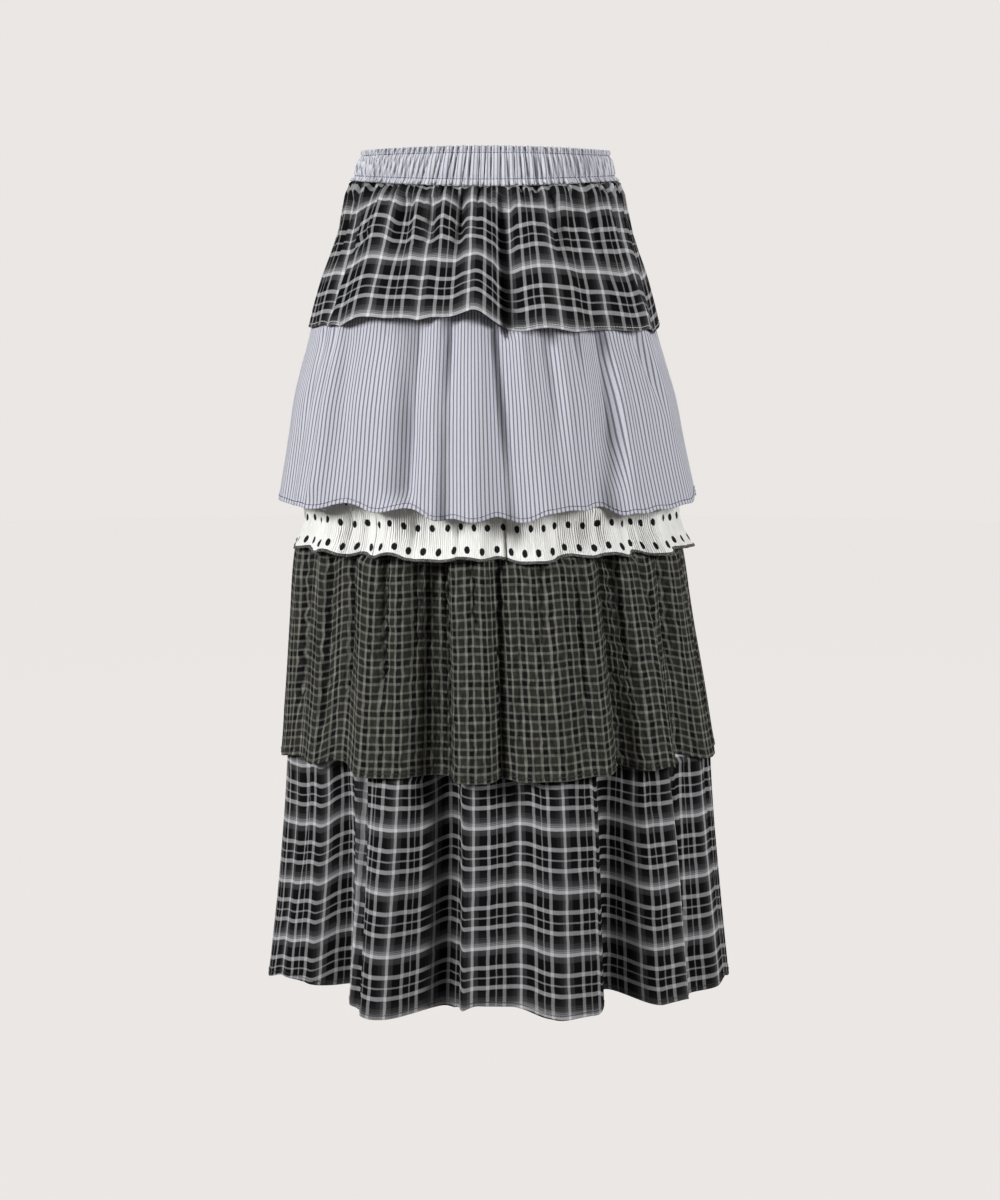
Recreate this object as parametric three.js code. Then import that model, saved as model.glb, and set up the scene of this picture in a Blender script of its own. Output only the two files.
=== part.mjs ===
// Long tiered ruffle skirt: an elastic waistband and five gathered tiers, each sewn under the one above.
// Millimetres, +Z up. The origin is the middle of the waist opening, at half the height of the waistband.
// The front of the skirt faces -Y. Angles go round the skirt from 0 at the front centre towards +X.
import * as THREE from 'three';

const WALL = 1.6; // cloth of the tiers
const SEAM_GAP = 0.3; // clearance between two pieces at a seam
const LAYER_GAP = 0.6; // clearance where a tier is sewn under the tier above
const HANG_GAP = 3; // least distance between two layers that hang over each other
const SETTLE = 26; // height over which a tier settles from its seam into its own folds
const STEEPEST = 2.2; // most that the wall is widened where a fold turns steeply
const BELOW = 2; // how far under the hem of the tier above a row lies that is named UNDER_HEM
const UNDER_HEM = 'under the hem of the tier above';

const BAND = { top: 17, sideDrop: 4, bottom: -21, sideRise: 5, wall: 3, gathers: 92 };
const COLUMNS = 48; // steps from side seam to side seam in one panel

// The body line that all pieces follow: ellipses with half sizes in X and Y, and the lean of their centre.
const BODY_LINE = [
  { z: 17, width: 121, depth: 90, lean: 2 },
  { z: -17, width: 131, depth: 98, lean: 1 },
  { z: -80, width: 147, depth: 111, lean: 0.5 },
  { z: -160, width: 166, depth: 128, lean: 0 },
  { z: -340, width: 187, depth: 150, lean: 5 },
  { z: -600, width: 214, depth: 170, lean: 15 },
  { z: -832, width: 237, depth: 184, lean: 15 },
];

// Rows of the waistband: how far its gathers stand in and out, and how far the row itself stands out.
const BAND_ROWS = [
  { share: 0, relief: 1.1, out: 0.3 }, // frilled top edge
  { share: 0.16, relief: 0.3, out: -0.7 }, // upper row of stitches
  { share: 0.32, relief: 1.0, out: 0.2 },
  { share: 0.64, relief: 1.0, out: 0.2 },
  { share: 0.83, relief: 0.3, out: -0.7 }, // lower row of stitches
  { share: 1, relief: 1.1, out: 0.5 }, // frilled bottom edge
];

// Each tier: the heights of its rows from its seam to its hem, how far it stands off the body line,
// and its folds: where (degrees), half width (degrees), how far out and how far up at the hem (mm).
const TIERS = {
  plaid_flounce: {
    color: 0x3a3a3c, finer: 1, growth: 1.0,
    rows: [-21, -60, -108, -161],
    stand: [{ z: -21, out: -0.4 }, { z: -75, out: 4 }, { z: -116, out: 7.4 }, { z: -161, out: 9 }],
    folds: [
      { at: -67, half: 15, out: -5, up: 3 }, { at: -44, half: 14, out: 5, up: 10 },
      { at: -28, half: 24, out: 0, up: 13 }, { at: -26, half: 10, out: -6, up: 0 },
      { at: -4, half: 13, out: 12, up: 22 }, { at: 7, half: 7, out: -14, up: 5 },
      { at: 20, half: 12, out: 5, up: 5 },
      { at: 40, half: 14, out: -6, up: 1 }, { at: 58, half: 10, out: 3, up: 0 },
      { at: 74, half: 12, out: -5, up: -3 }, { at: 104, half: 13, out: 6, up: 2 },
      { at: 126, half: 12, out: -8, up: 6 }, { at: 147, half: 12, out: 8, up: 0 },
      { at: 168, half: 11, out: -9, up: 8 }, { at: -170, half: 12, out: 9, up: 3 },
      { at: -148, half: 12, out: -8, up: 8 }, { at: -124, half: 13, out: 7, up: 0 },
      { at: -102, half: 12, out: -6, up: 4 },
    ],
  },
  striped_tier: {
    color: 0xb9bbc8, finer: 1, growth: 1.0, under: 'plaid_flounce',
    rows: [-108, -130, UNDER_HEM, -205, -275, -334],
    stand: [{ z: -108, out: 4.7 }, { z: -166, out: 4.5 }, { z: -205, out: 10.7 }, { z: -233, out: 15 },
      { z: -276, out: 18.5 }, { z: -334, out: 24.5 }],
    folds: [
      { at: -62, half: 9, out: -12, up: -2 }, { at: -42, half: 13, out: -18, up: 8 },
      { at: -22, half: 10, out: 6, up: 2 }, { at: -3, half: 13, out: 10, up: -5 },
      { at: 17, half: 9, out: 2, up: 2 }, { at: 31, half: 8, out: -16, up: 6 },
      { at: 44, half: 10, out: 8, up: -2 }, { at: 64, half: 12, out: -10, up: 2 },
      { at: 106, half: 14, out: -10, up: 3 }, { at: 128, half: 12, out: 10, up: -3 },
      { at: 150, half: 13, out: -16, up: 5 }, { at: 172, half: 12, out: 9, up: -3 },
      { at: -166, half: 12, out: -14, up: 4 }, { at: -143, half: 13, out: 10, up: -3 },
      { at: -119, half: 12, out: -12, up: 4 }, { at: -98, half: 10, out: 4, up: 0 },
    ],
  },
  dotted_ruffle: {
    color: 0xe9e9e4, finer: 2, growth: 1.0, under: 'striped_tier',
    rows: [-275, UNDER_HEM, -352, -381],
    stand: [{ z: -275, out: 16.5 }, { z: -348, out: 0.6 }, { z: -366, out: 3.5 }, { z: -381, out: 10 }],
    folds: [
      { at: -82, half: 8, out: 4, up: -2 }, { at: -68, half: 9, out: -6, up: 3 },
      { at: -53, half: 9, out: 7, up: 5 }, { at: -40, half: 7, out: -8, up: 4 },
      { at: -29, half: 8, out: 7, up: 7 }, { at: -18, half: 7, out: -5, up: 1 },
      { at: -7, half: 9, out: 8, up: 5 }, { at: 2.5, half: 6, out: -9, up: 4 },
      { at: 12, half: 8, out: 8, up: 1 }, { at: 24, half: 9, out: -7, up: 5 },
      { at: 36, half: 10, out: 6, up: 6 }, { at: 48, half: 6, out: -10, up: 4 },
      { at: 58, half: 8, out: 7, up: 0 }, { at: 71, half: 9, out: -6, up: 1 },
      { at: 84, half: 7, out: 4, up: 0 }, { at: 98, half: 9, out: -7, up: 3 },
      { at: 112, half: 8, out: 7, up: 0 }, { at: 125, half: 8, out: -8, up: 4 },
      { at: 138, half: 8, out: 7, up: 1 }, { at: 150, half: 7, out: -9, up: 4 },
      { at: 161, half: 8, out: 8, up: 0 }, { at: 173, half: 7, out: -8, up: 4 },
      { at: -175, half: 8, out: 7, up: 1 }, { at: -162, half: 8, out: -7, up: 3 },
      { at: -149, half: 9, out: 8, up: 0 }, { at: -135, half: 8, out: -9, up: 4 },
      { at: -122, half: 9, out: 7, up: 1 }, { at: -108, half: 8, out: -7, up: 3 },
      { at: -95, half: 8, out: 5, up: 0 },
    ],
  },
  check_tier: {
    color: 0x46463e, finer: 1, growth: 0.8, under: 'dotted_ruffle',
    rows: [-275, -336, -352, UNDER_HEM, -465, -540, -592],
    stand: [{ z: -275, out: 14.5 }, { z: -348, out: -3 }, { z: -388, out: 3.4 }, { z: -456, out: 5 },
      { z: -520, out: 6.3 }, { z: -568, out: 7.6 }, { z: -592, out: 8.8 }],
    folds: [
      { at: -66, half: 12, out: -10, up: 5 }, { at: -46, half: 13, out: -22, up: 9 },
      { at: -22, half: 14, out: 8, up: 1 }, { at: 5, half: 14, out: 6, up: 2 },
      { at: 22, half: 11, out: 9, up: 4 }, { at: 37, half: 9, out: -16, up: 7 },
      { at: 47, half: 6, out: 4, up: 6 }, { at: 60, half: 11, out: -20, up: 11 },
      { at: 104, half: 12, out: -12, up: 5 }, { at: 126, half: 13, out: 8, up: 0 },
      { at: 148, half: 12, out: -18, up: 8 }, { at: 168, half: 11, out: 9, up: 1 },
      { at: -172, half: 11, out: -14, up: 6 }, { at: -152, half: 12, out: 8, up: 0 },
      { at: -130, half: 12, out: -18, up: 8 }, { at: -108, half: 11, out: 6, up: 2 },
    ],
  },
  hem_tier: {
    color: 0x3a3a3c, finer: 1, growth: 0.45, under: 'check_tier',
    rows: [-540, -562, UNDER_HEM, -645, -735, -827],
    stand: [{ z: -540, out: 4.9 }, { z: -601, out: 0.5 }, { z: -719, out: 0 }, { z: -827, out: 1.1 }],
    folds: [
      { at: -67, half: 14, out: -12, up: 7 }, { at: -48, half: 14, out: -36, up: 18 },
      { at: -26, half: 13, out: 20, up: 0 }, { at: -5, half: 14, out: -32, up: 11 },
      { at: 15, half: 12, out: 20, up: 2 }, { at: 34, half: 11, out: -42, up: 14 },
      { at: 48, half: 8, out: 2, up: 4 }, { at: 61, half: 10, out: -20, up: 1 },
      { at: 76, half: 9, out: 0, up: 5 }, { at: 106, half: 13, out: -24, up: 8 },
      { at: 128, half: 13, out: 18, up: 0 }, { at: 149, half: 13, out: -30, up: 10 },
      { at: 170, half: 12, out: 18, up: 0 }, { at: -168, half: 12, out: -28, up: 10 },
      { at: -147, half: 13, out: 20, up: 0 }, { at: -125, half: 13, out: -30, up: 10 },
      { at: -106, half: 10, out: 8, up: 2 },
    ],
  },
};

const radians = (degrees) => (degrees * Math.PI) / 180;
const turn = (degrees) => ((((degrees + 180) % 360) + 360) % 360) - 180;

// A smooth value between the rows of a table whose z falls from row to row.
function between(table, z, field) {
  const last = table.length - 1;
  if (z >= table[0].z) return table[0][field];
  if (z <= table[last].z) return table[last][field];
  const i = table.findIndex((row) => row.z <= z) - 1;
  const slope = (j) => {
    const before = table[Math.max(j - 1, 0)];
    const after = table[Math.min(j + 1, last)];
    return (after[field] - before[field]) / (after.z - before.z);
  };
  const step = table[i + 1].z - table[i].z;
  const u = (z - table[i].z) / step;
  const start = (2 * u ** 3 - 3 * u ** 2 + 1) * table[i][field] + (u ** 3 - 2 * u ** 2 + u) * step * slope(i);
  return start + (3 * u ** 2 - 2 * u ** 3) * table[i + 1][field] + (u ** 3 - u ** 2) * step * slope(i + 1);
}

// The point at this angle and height that lies out from the body line by the given distance.
function pointAt(angle, z, out) {
  const width = between(BODY_LINE, z, 'width');
  const depth = between(BODY_LINE, z, 'depth');
  const sin = Math.sin(radians(angle));
  const cos = Math.cos(radians(angle));
  const normal = new THREE.Vector2(sin / width, -cos / depth).normalize();
  const x = between(BODY_LINE, z, 'lean') + width * sin + out * normal.x;
  return new THREE.Vector3(x, -depth * cos + out * normal.y, z);
}

// A fold is one smooth wave: 1 at its middle and 0 from its half width on.
function foldSum(tier, angle, field) {
  return tier.folds.reduce((sum, fold) => {
    const away = Math.abs(turn(angle - fold.at)) / fold.half;
    return away < 1 ? sum + fold[field] * Math.cos((Math.PI * away) / 2) ** 2 : sum;
  }, 0);
}

const bandBottom = (angle) => BAND.bottom + BAND.sideRise * Math.sin(radians(angle)) ** 2;

// How far the outer face of a tier stands off the body line where it hangs free.
function freeOut(tier, angle, z) {
  const seam = tier.rows[0];
  const hem = tier.rows[tier.rows.length - 1];
  const down = Math.min(Math.max((seam - z) / (seam - hem), 0), 1);
  return between(tier.stand, z, 'out') + foldSum(tier, angle, 'out') * down ** tier.growth;
}

// The faces of a tier on one angle: a height, an outer and an inner distance for each row.
const profiles = new Map();
function profile(name, angle) {
  const key = `${name} ${angle.toFixed(4)}`;
  if (!profiles.has(key)) profiles.set(key, makeProfile(TIERS[name], angle));
  return profiles.get(key);
}

function hemAbove(tier, angle) {
  const above = TIERS[tier.under];
  return above.rows[above.rows.length - 1] + foldSum(above, angle, 'up');
}

function makeProfile(tier, angle) {
  const seam = tier.rows[0];
  const hem = tier.rows[tier.rows.length - 1];
  const up = foldSum(tier, angle, 'up');
  return tier.rows.map((row, i) => {
    const down = (seam - row) / (seam - hem);
    let z = row === UNDER_HEM ? hemAbove(tier, angle) - BELOW : row + up * down ** 3;
    if (!tier.under && i === 0) z = bandBottom(angle) - SEAM_GAP;
    const outer = outerAt(tier, angle, z, i === 0);
    const aside = 1; // degrees to each side, to see how steeply the fold turns here
    const rise = freeOut(tier, angle + aside, z) - freeOut(tier, angle - aside, z);
    const run = between(BODY_LINE, z, 'width') * radians(2 * aside);
    const steep = i === 0 ? 1 : Math.min(Math.hypot(1, rise / run), STEEPEST);
    return { z, outer, inner: outer - WALL * steep };
  });
}

// A tier starts right under the tier above, and then hangs in its own folds, clear of that tier.
function outerAt(tier, angle, z, atSeam) {
  const free = freeOut(tier, angle, z);
  if (!tier.under) return free;
  if (atSeam) return innerOf(tier.under, angle, z) - LAYER_GAP;
  const above = leastInner(tier.under, angle, z);
  const u = Math.min((tier.rows[0] - z) / SETTLE, 1);
  const settled = above === null ? free : Math.min(free, above - HANG_GAP);
  if (above === null || u === 1) return settled;
  return Math.min(above - LAYER_GAP - (HANG_GAP - LAYER_GAP) * u, settled * u + (above - LAYER_GAP) * (1 - u));
}

// The least inner distance at an angle and one column to each side of it, or null below the hem.
function leastInner(name, angle, z) {
  const step = 180 / COLUMNS / TIERS[name].finer;
  const near = [-step, 0, step].map((aside) => innerOf(name, turn(angle + aside), z));
  return near[1] === null ? null : Math.min(...near.filter((distance) => distance !== null));
}

// The inner face of a tier at a height, or null below its hem.
function innerOf(name, angle, z) {
  const step = 180 / COLUMNS / TIERS[name].finer;
  const lower = Math.floor((angle + 90) / step + 1e-6) * step - 90;
  const share = (angle - lower) / step;
  if (share > 1e-6) {
    const sides = [innerOf(name, lower, z), innerOf(name, lower + step, z)];
    return sides.includes(null) ? sides.find((side) => side !== null) ?? null
      : sides[0] * (1 - share) + sides[1] * share;
  }
  const rows = profile(name, lower);
  const i = rows.findIndex((row) => row.z <= z + 1e-6);
  const hem = rows[rows.length - 1];
  if (i < 0) return z > hem.z - 2 * BELOW ? hem.inner : null;
  if (i === 0) return rows[0].inner;
  const u = (rows[i - 1].z - z) / (rows[i - 1].z - rows[i].z);
  return rows[i - 1].inner * (1 - u) + rows[i].inner * u;
}

// A closed solid from an outer and an inner net of points, each with rows from the top down.
// In each row the points go round towards +X at the front. A ring joins its last column to its first.
function wallSolid(outer, inner, ring) {
  const rows = outer.length;
  const columns = outer[0].length;
  const points = [...outer.flat(), ...inner.flat()];
  const at = (side, row, column) => (side * rows + row) * columns + (column % columns);
  const faces = [];
  const quad = (a, b, c, d) => faces.push(a, b, c, a, c, d);
  const last = ring ? columns : columns - 1;
  for (let c = 0; c < last; c++) {
    for (let r = 0; r < rows - 1; r++) {
      quad(at(0, r, c), at(0, r + 1, c), at(0, r + 1, c + 1), at(0, r, c + 1));
      quad(at(1, r, c), at(1, r, c + 1), at(1, r + 1, c + 1), at(1, r + 1, c));
    }
    quad(at(0, 0, c), at(0, 0, c + 1), at(1, 0, c + 1), at(1, 0, c));
    quad(at(0, rows - 1, c), at(1, rows - 1, c), at(1, rows - 1, c + 1), at(0, rows - 1, c + 1));
  }
  for (let r = 0; r < rows - 1 && !ring; r++) {
    quad(at(0, r, 0), at(1, r, 0), at(1, r + 1, 0), at(0, r + 1, 0));
    quad(at(0, r, last), at(0, r + 1, last), at(1, r + 1, last), at(1, r, last));
  }
  const geometry = new THREE.BufferGeometry().setFromPoints(points);
  geometry.setIndex(faces);
  geometry.computeVertexNormals();
  return geometry;
}

// The waistband: a casing drawn in by elastic, with a crest and a valley for each gather.
function waistband() {
  const count = BAND.gathers * 2;
  const outer = [];
  const inner = [];
  for (const row of BAND_ROWS) {
    const outerRow = [];
    const innerRow = [];
    for (let i = 0; i < count; i++) {
      const drift = 0.5 * Math.sin(i * 2.1) + 0.35 * Math.sin(i * 0.73); // gathers are never quite even
      const angle = ((i + 0.5 * drift) * 360) / count - 180;
      const top = BAND.top - BAND.sideDrop * Math.sin(radians(angle)) ** 2;
      const z = top + (bandBottom(angle) - top) * row.share;
      const relief = row.relief * (i % 2 === 0 ? 1 : -1) * (1 + 0.3 * drift);
      outerRow.push(pointAt(angle, z, row.out + relief));
      innerRow.push(pointAt(angle, z, -BAND.wall));
    }
    outer.push(outerRow);
    inner.push(innerRow);
  }
  return wallSolid(outer, inner, true);
}

// One panel of a tier, from side seam to side seam: the front one goes round from -90 to 90 degrees.
function panel(name, isFront) {
  const tier = TIERS[name];
  const columns = COLUMNS * tier.finer;
  const outer = tier.rows.map(() => []);
  const inner = tier.rows.map(() => []);
  for (let c = 0; c <= columns; c++) {
    const angle = (isFront ? -90 : 90) + (c * 180) / columns;
    const atSide = c === 0 || c === columns;
    profile(name, turn(angle)).forEach((row, i) => {
      const pair = [pointAt(angle, row.z, row.outer), pointAt(angle, row.z, row.inner)];
      if (atSide) pair.forEach((point) => { point.y = ((isFront ? -1 : 1) * SEAM_GAP) / 2; });
      outer[i].push(pair[0]);
      inner[i].push(pair[1]);
    });
  }
  return wallSolid(outer, inner, false);
}

function clothMesh(name, geometry, color) {
  const material = new THREE.MeshStandardMaterial({ color, roughness: 0.9, metalness: 0 });
  const mesh = new THREE.Mesh(geometry, material);
  mesh.name = name;
  return mesh;
}

const skirt = new THREE.Group();
skirt.add(clothMesh('waistband', waistband(), 0xc3c5d2));
for (const [name, tier] of Object.entries(TIERS)) {
  skirt.add(clothMesh(`${name}_front`, panel(name, true), tier.color));
  skirt.add(clothMesh(`${name}_back`, panel(name, false), tier.color));
}

export default skirt;
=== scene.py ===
import bpy
import functools
import math
import numpy as np
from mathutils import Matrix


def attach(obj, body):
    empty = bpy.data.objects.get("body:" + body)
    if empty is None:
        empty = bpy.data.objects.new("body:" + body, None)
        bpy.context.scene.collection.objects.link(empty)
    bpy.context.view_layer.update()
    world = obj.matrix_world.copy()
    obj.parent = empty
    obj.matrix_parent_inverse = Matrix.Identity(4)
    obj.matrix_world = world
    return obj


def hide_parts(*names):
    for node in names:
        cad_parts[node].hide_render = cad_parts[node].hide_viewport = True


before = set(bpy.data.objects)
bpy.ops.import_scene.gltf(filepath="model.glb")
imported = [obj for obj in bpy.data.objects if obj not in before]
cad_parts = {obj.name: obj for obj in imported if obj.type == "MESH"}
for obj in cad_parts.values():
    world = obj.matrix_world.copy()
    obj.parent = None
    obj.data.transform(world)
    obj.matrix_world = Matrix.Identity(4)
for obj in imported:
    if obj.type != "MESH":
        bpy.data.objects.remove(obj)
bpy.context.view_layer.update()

# Sizes here are real millimetres and become metres when a mesh is made.
# Angles go round the skirt in degrees, from 0 at the front centre towards +X.
mm = 0.001
columnStep = 0.5
angles = np.arange(-90, 270, columnStep)

bodyLine = {
    "z": [17, -17, -80, -160, -340, -600, -832],
    "width": [121, 131, 147, 166, 187, 214, 237],  # half size in X
    "depth": [90, 98, 111, 128, 150, 170, 184],  # half size in Y
    "lean": [2, 1, 0.5, 0, 5, 15, 15],  # how far the centre stands towards +X
}


# The shapes that every cloth piece shares.

def turned(degrees):
    return (degrees + 180) % 360 - 180


def between(heights, values, z):
    # a smooth value at z, from a list whose heights fall
    heights = np.array(heights, float)
    values = np.array(values, float)
    z = np.clip(z, heights[-1], heights[0])
    last = len(heights) - 1
    before = np.maximum(np.arange(last + 1) - 1, 0)
    after = np.minimum(np.arange(last + 1) + 1, last)
    slope = (values[after] - values[before]) / (heights[after] - heights[before])
    i = np.clip(np.searchsorted(-heights, -z, side="right") - 1, 0, last - 1)
    step = heights[i + 1] - heights[i]
    u = (z - heights[i]) / step
    start = (2 * u**3 - 3 * u**2 + 1) * values[i] + (u**3 - 2 * u**2 + u) * step * slope[i]
    return start + (3 * u**2 - 2 * u**3) * values[i + 1] + (u**3 - u**2) * step * slope[i + 1]


def pointAt(degrees, z, out):
    # the point that lies out from the body line by the given distance
    width = between(bodyLine["z"], bodyLine["width"], z)
    depth = between(bodyLine["z"], bodyLine["depth"], z)
    lean = between(bodyLine["z"], bodyLine["lean"], z)
    sin = np.sin(np.radians(degrees))
    cos = np.cos(np.radians(degrees))
    normalX = sin / width
    normalY = -cos / depth
    long = np.hypot(normalX, normalY)
    return np.stack([lean + width * sin + out * normalX / long,
                     -depth * cos + out * normalY / long,
                     z + 0 * out], axis=-1)


def eased(share):
    # from 0 to 1 with a soft start and end
    share = np.clip(share, 0, 1)
    return share**2 * (3 - 2 * share)


def softBump(away):
    # 1 in the middle and 0 from one half width on
    return np.cos(np.pi / 2 * np.clip(np.abs(away), 0, 1)) ** 2


def foldSum(folds, field, degrees):
    total = np.zeros_like(degrees, dtype=float)
    for fold in folds:
        total += fold[field] * softBump(turned(degrees - fold[0]) / fold[1])
    return total


def wave(points, degrees):
    # an even swing through (angle, height) points all round the skirt
    points = sorted(points)
    at = np.array([p[0] for p in points] + [points[0][0] + 360], float)
    height = np.array([p[1] for p in points] + [points[0][1]], float)
    degrees = (degrees - at[0]) % 360 + at[0]
    i = np.clip(np.searchsorted(at, degrees, side="right") - 1, 0, len(at) - 2)
    share = (degrees - at[i]) / (at[i + 1] - at[i])
    return height[i] + (height[i + 1] - height[i]) * (0.5 - 0.5 * np.cos(np.pi * share))


def creaseSum(creases, degrees, z, slit, wiggle):
    # each crease runs from (angle, z) to (angle, z), with its depth, a half width to each side,
    # and the share of its length over which it fades in and out; slit is how much deeper its middle is,
    # in a sharp valley, where the crease is 6 mm deep
    total = np.zeros_like(z)
    for a0, z0, a1, z1, out, left, right, fadeIn, fadeOut in creases:
        along = (z0 - z) / (z0 - z1)
        snake = wiggle * (np.sin(z / 2.9 + a0) + 0.7 * np.sin(z / 5.3 + 2 * a0))
        away = turned(degrees - (a0 + (a1 - a0) * np.clip(along, -0.2, 1.2)) - snake)
        strength = eased(along / fadeIn) if fadeIn > 0 else 1.0
        if fadeOut > 0:
            strength = strength * eased((1 - along) / fadeOut)
        total += out * strength * softBump(away / np.where(away < 0, left, right))
        total -= slit * min(max(-out, 0) / 6, 1.2) * strength * softBump(away / 0.75)
    return total


def spline(share):
    return [(1 - share) ** 3 / 6, (3 * share**3 - 6 * share**2 + 4) / 6,
            (-3 * share**3 + 3 * share**2 + 3 * share + 1) / 6, share**3 / 6]


def softNoise(seed, count, span, degrees, z):
    # smooth noise, mostly from -1 to 1, with count swings round the skirt, that changes over span down it
    rng = np.random.default_rng(seed)
    rows = int(900 / span) + 6
    knots = rng.uniform(-1, 1, (rows, count))
    across = (degrees % 360) / 360 * count
    down = (60 - z) / span
    column = np.floor(across).astype(int)
    row = np.floor(down).astype(int)
    acrossWeights = spline(across - column)
    downWeights = spline(down - row)
    total = np.zeros(np.broadcast(degrees, z).shape)
    for j in range(4):
        for i in range(4):
            total += downWeights[j] * acrossWeights[i] * knots[(row + j) % rows, (column + i - 1) % count]
    return total * 1.5


def gathers(seed, count, span, degrees, z):
    # rounded crests with sharp valleys, from -0.8 to 0.8
    noise = softNoise(seed, count, span, degrees, z)
    return np.minimum(np.abs(noise) * 4.6, 1.6) - 0.8


def bandBottom(degrees):
    return -21 + 5 * np.sin(np.radians(degrees)) ** 2


# One tier: where every row of the cloth lies, how far out it stands, and its place on the cut cloth.

sewing = {  # mm
    "seamDip": 0.9,  # a side seam draws the cloth in
    "seamHalfWidth": 1.3,  # degrees
    "hemThick": 0.35,  # the turned-up hem stands out
    "stitchDip": 0.3,  # its stitches draw it in
    "tuck": 0.4,  # at its seam a tier lies this far behind the one above, past its own clearance
    "settle": 26,  # how far below the seam it hangs free
    "behind": 2.2,  # how far it then stays behind at least
    "softDepth": 9,  # how far behind it still bends softly away from the one above
}


def tierShape(tier, above):
    degrees = angles[None, :]
    turnUp = tier["turnUp"]
    hem = tier["hem"] + foldSum(tier["folds"], 3, angles)
    seam = np.full(len(angles), float(tier["seam"]))
    if above is None:
        seam = bandBottom(angles) - 0.3
    edge = np.array([0, 0.25, 0.85, 1.0, 1.25]) * turnUp  # rows on the hem
    plainRows = tier["rows"] - len(edge)
    body = (np.arange(plainRows) / plainRows) ** 1.12
    z = np.concatenate([seam + (hem + edge[-1] - seam) * body[:, None], hem + edge[::-1, None]])
    share = (seam - z) / (seam - hem)
    below = seam - z
    down = np.clip((tier["seam"] - z) / (tier["seam"] - tier["hem"]), 0, 1)
    out = between([p[0] for p in tier["stand"]], [p[1] for p in tier["stand"]], z)
    out = out + foldSum(tier["folds"], 2, angles) * down ** tier["growth"]
    lower = eased((share - 0.3) / 0.35)
    lowWaves = tier.get("lowWaves", tier["waves"])
    swing = wave(tier["waves"], angles) * (1 - lower) + wave(lowWaves, angles) * lower
    build = np.clip(share / 0.3, 0, 1) * (1 - 0.45 * np.clip(share, 0, 1) ** 2)
    out = out + tier["waveOut"] * swing * build
    out = out + tier["proud"] * down**2 * np.abs(np.cos(np.radians(angles)))
    out = out + creaseSum(tier["creases"], degrees, z, tier["slit"], tier["wiggle"])
    gathered = np.zeros_like(z)
    for k, (count, height, fade, stay) in enumerate(tier["gathers"]):
        strength = height * (stay + (1 - stay) * np.exp(-below / fade)) * np.clip(below / 2.5, 0.6, 1)
        gathered += strength * gathers(tier["seed"] + k, count, fade * 1.6 + 10, degrees, z)
    out = out + gathered
    for sideSeam in (90, -90):
        out = out - sewing["seamDip"] * softBump(turned(degrees - sideSeam) / sewing["seamHalfWidth"])
    out = out + sewing["hemThick"] * np.clip((turnUp - (z - hem)) / 0.6, 0, 1)
    out = out - sewing["stitchDip"] * softBump((z - hem - 0.85 * turnUp) / 0.9)
    if above is not None:
        out = keepUnder(tier, above, out, z, below)
    shape = {"z": z, "out": out, "points": pointAt(degrees, z, out), "hem": hem}
    layOnCut(tier, shape, seam, swing, gathered)
    return shape


def layOnCut(tier, shape, seam, swing, gathered):
    # the place of each point on the cut cloth, and the size of the cut
    z = shape["z"]
    hem = shape["hem"]
    points = shape["points"]
    share = (seam - z) / (seam - hem)
    below = seam - z
    drift = tier["drift"] * softNoise(tier["seed"] + 50, 34, 70, angles[None, :], z)
    ride = swing * tier["ride"] + drift + tier["gatherRide"] * gathered
    ride = ride * np.clip(share / 0.2, 0, 1) * (1 - share**3)
    ride = ride + tier["seamRide"] * gathered * np.exp(-below / 16)
    closed = np.concatenate([points, points[:, :1]], axis=1)
    fromSide = np.minimum(np.abs(turned(angles)), 180 - np.abs(turned(angles)))
    depthShare = tier["depthSeen"] + (1 - tier["depthSeen"]) * eased((fromSide - 56) / 28)
    # the hem and a row above it set the widths in equal parts
    steps = clothStep(closed[-1], depthShare) * 0.5 + clothStep(closed[-10], depthShare) * 0.5
    across = np.concatenate([[0], np.cumsum(steps)])
    shape["across"] = across - np.interp(0, np.append(angles, 270), across)
    shape["width"] = clothStep(closed[-1], np.ones(len(angles))).sum()
    shape["length"] = np.linalg.norm(np.diff(points, axis=0), axis=2).sum(axis=0).mean()
    along = shape["length"] * (z - hem) / (seam - hem) - ride - wave(tier["grain"], angles)
    shape["along"] = along + tier["pull"] * np.exp(-np.maximum(below, 0) / 11)


def clothStep(row, depthShare):
    # cloth width from column to column, with depth counted in part where the wide front and back hang flat
    step = np.diff(row, axis=0)
    return np.hypot(step[:, 0], step[:, 1] * depthShare)


def keepUnder(tier, above, out, z, below):
    # a tier is sewn just under the one above, and stays behind it down to its hem
    inner = above["out"] - tier["clear"]
    limit = np.empty_like(out)
    for c in range(len(angles)):
        near = [(c - 1) % len(angles), c, (c + 1) % len(angles)]
        limit[:, c] = np.min([np.interp(-z[:, c], -above["z"][:, n], inner[:, n]) for n in near], axis=0)
    past = np.maximum(above["hem"] - 1 - z, 0)
    limit = limit + past * 1.1 + past**2 * 0.05
    highest = limit - sewing["behind"]
    hang = np.minimum(out, highest)
    soft = highest - np.log1p(np.exp(-np.clip((out - highest) / 1.5, -30, 30))) * 1.5
    covered = np.minimum(hang, np.maximum(soft, limit - sewing["softDepth"]))
    settle = np.clip(below / sewing["settle"], 0, 1)
    return np.where(past > 0, hang, (limit - sewing["tuck"]) * (1 - settle) + covered * settle)


# Turning rows of points into cloth.

def selectNone():
    if bpy.context.object and bpy.context.object.mode != "OBJECT":
        bpy.ops.object.mode_set(mode="OBJECT")
    bpy.ops.object.select_all(action="DESELECT")


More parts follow.
